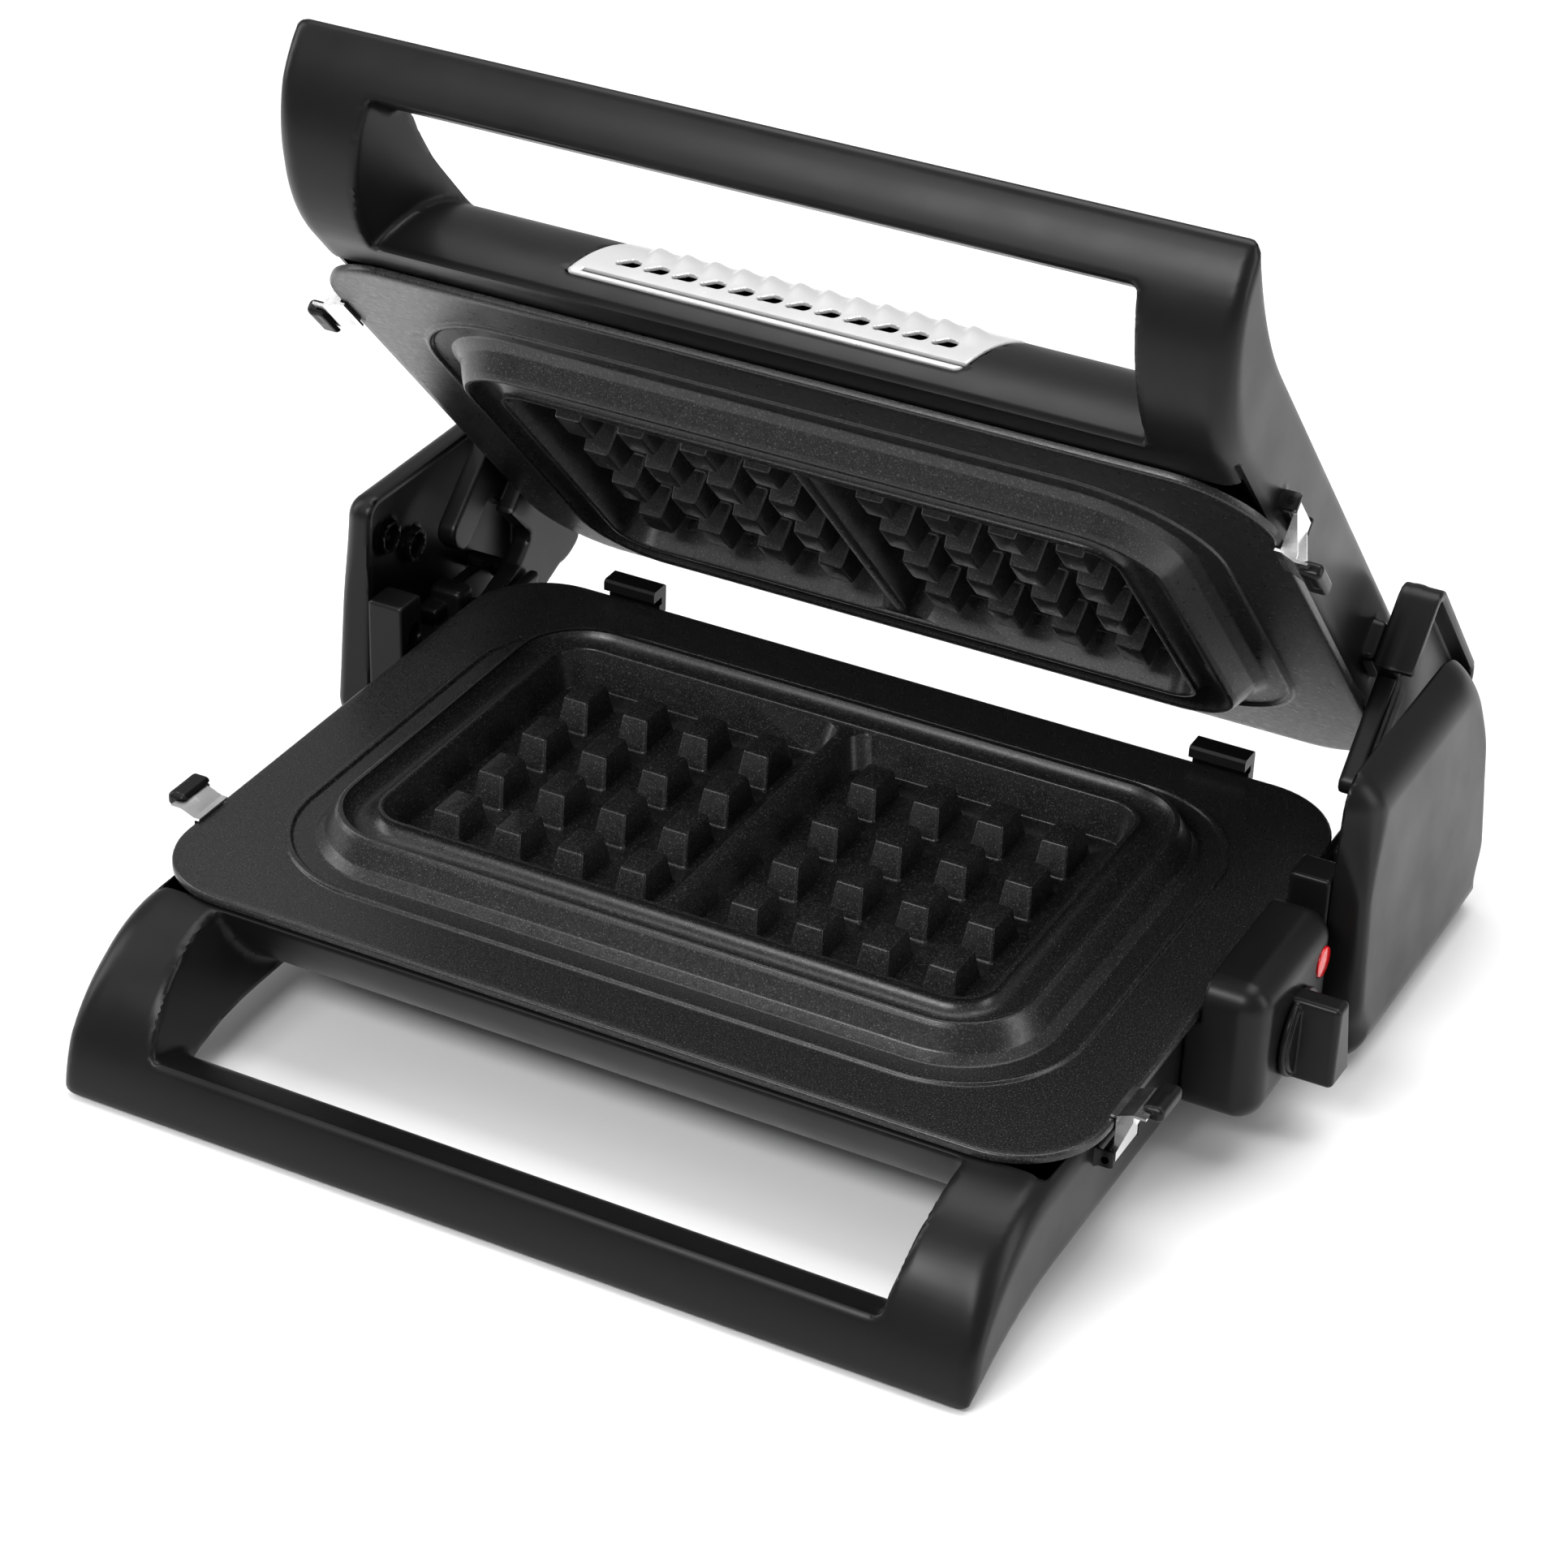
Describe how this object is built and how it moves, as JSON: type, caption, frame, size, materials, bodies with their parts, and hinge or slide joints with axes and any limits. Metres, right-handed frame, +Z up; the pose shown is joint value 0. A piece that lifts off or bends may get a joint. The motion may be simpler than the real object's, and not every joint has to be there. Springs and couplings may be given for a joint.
{
  "type": "waffle maker",
  "caption": "Folding double waffle maker: two hinged black half housings with loop handles, removable cast waffle plates, side clips, chrome vent grille and thermostat knob.",
  "frame": {"origin": "centre of the bounding box's base with the lid open, on the table surface under the feet", "axes": "+X to the user's right along the hinge, +Y from the handles back towards the hinge, +Z up"},
  "size_m": [0.3644, 0.3246, 0.285],
  "materials": {
    "satin_black_plastic": "satin",
    "nonstick_coating": "cast aluminium with black non-stick coating, fine speckle",
    "grille_chrome": "polished",
    "brushed_strip": "brushed",
    "zinc_steel": "zinc plated",
    "element_sheath": "oxidised",
    "tray_sheet": "mill finish",
    "ceramic": "smooth moulding",
    "red_lens": "clear red, polished",
    "lamp_glass": "clear",
    "soft_rubber": "matt"
  },
  "bodies": {
    "base": {"base_shell": "satin_black_plastic", "base_bottom_cover": "satin_black_plastic", "bottom_cover_screws": "zinc_steel", "lower_reflector_tray": "tray_sheet", "lower_heating_element": "element_sheath", "lower_waffle_plate": "nonstick_coating", "rear_plate_hooks": "satin_black_plastic", "post_cover_left": "satin_black_plastic", "post_cover_right": "satin_black_plastic", "hinge_bracket_left": "satin_black_plastic", "hinge_bracket_right": "satin_black_plastic", "hinge_pins": "zinc_steel", "pin_retaining_rings": "zinc_steel", "post_screws": "zinc_steel", "control_box": "satin_black_plastic", "thermostat_body": "ceramic", "indicator_lens": "red_lens", "indicator_lamp": "lamp_glass", "thermal_fuse": "ceramic", "terminal_block": "ceramic", "cord_gland": "soft_rubber", "rubber_feet": "soft_rubber", "lower_clip_pins": "zinc_steel"},
    "lid": {"lid_shell": "satin_black_plastic", "vent_grille": "grille_chrome", "upper_reflector_tray": "tray_sheet", "upper_heating_element": "element_sheath", "upper_waffle_plate": "nonstick_coating", "lid_arm_left": "satin_black_plastic", "lid_arm_right": "satin_black_plastic", "lid_arm_screws": "zinc_steel", "upper_clip_pins": "zinc_steel"},
    "knob": {"control_knob": "satin_black_plastic", "thermostat_shaft": "zinc_steel"},
    "lower_clip_left": {"lower_clip_left": "brushed_strip", "lower_clip_tab_left": "satin_black_plastic"},
    "lower_clip_right": {"lower_clip_right": "brushed_strip", "lower_clip_tab_right": "satin_black_plastic"},
    "upper_clip_left": {"upper_clip_left": "brushed_strip", "upper_clip_tab_left": "satin_black_plastic"},
    "upper_clip_right": {"upper_clip_right": "brushed_strip", "upper_clip_tab_right": "satin_black_plastic"}
  },
  "joints": [
    {"name": "lid_hinge", "type": "hinge", "parent": "base", "child": "lid", "pos_m": [-0.0022, 0.09251, 0.0294], "axis": [1, 0, 0], "range_deg": [0, 47]},
    {"name": "knob_turn", "type": "hinge", "parent": "base", "child": "knob", "pos_m": [0.1728, 0.00311, 0.0338], "axis": [1, 0, 0], "range_deg": [-135, 135]},
    {"name": "lower_clip_left_swing", "type": "hinge", "parent": "base", "child": "lower_clip_left", "pos_m": [-0.1512, -0.07639, 0.037], "axis": [0, -1, 0], "range_deg": [0, 22], "stiffness_Nm_per_rad": 0.2, "springref_deg": -17.19},
    {"name": "upper_clip_left_swing", "type": "hinge", "parent": "lid", "child": "upper_clip_left", "pos_m": [-0.1512, 0.01681, 0.18975], "axis": [0, 0.682, -0.7314], "range_deg": [0, 22], "stiffness_Nm_per_rad": 0.2, "springref_deg": -17.19},
    {"name": "lower_clip_right_swing", "type": "hinge", "parent": "base", "child": "lower_clip_right", "pos_m": [0.1468, -0.07639, 0.037], "axis": [0, 1, 0], "range_deg": [0, 22], "stiffness_Nm_per_rad": 0.2, "springref_deg": -17.19},
    {"name": "upper_clip_right_swing", "type": "hinge", "parent": "lid", "child": "upper_clip_right", "pos_m": [0.1468, 0.01681, 0.18975], "axis": [0, -0.682, 0.7314], "range_deg": [0, 22], "stiffness_Nm_per_rad": 0.2, "springref_deg": -17.19}
  ]
}
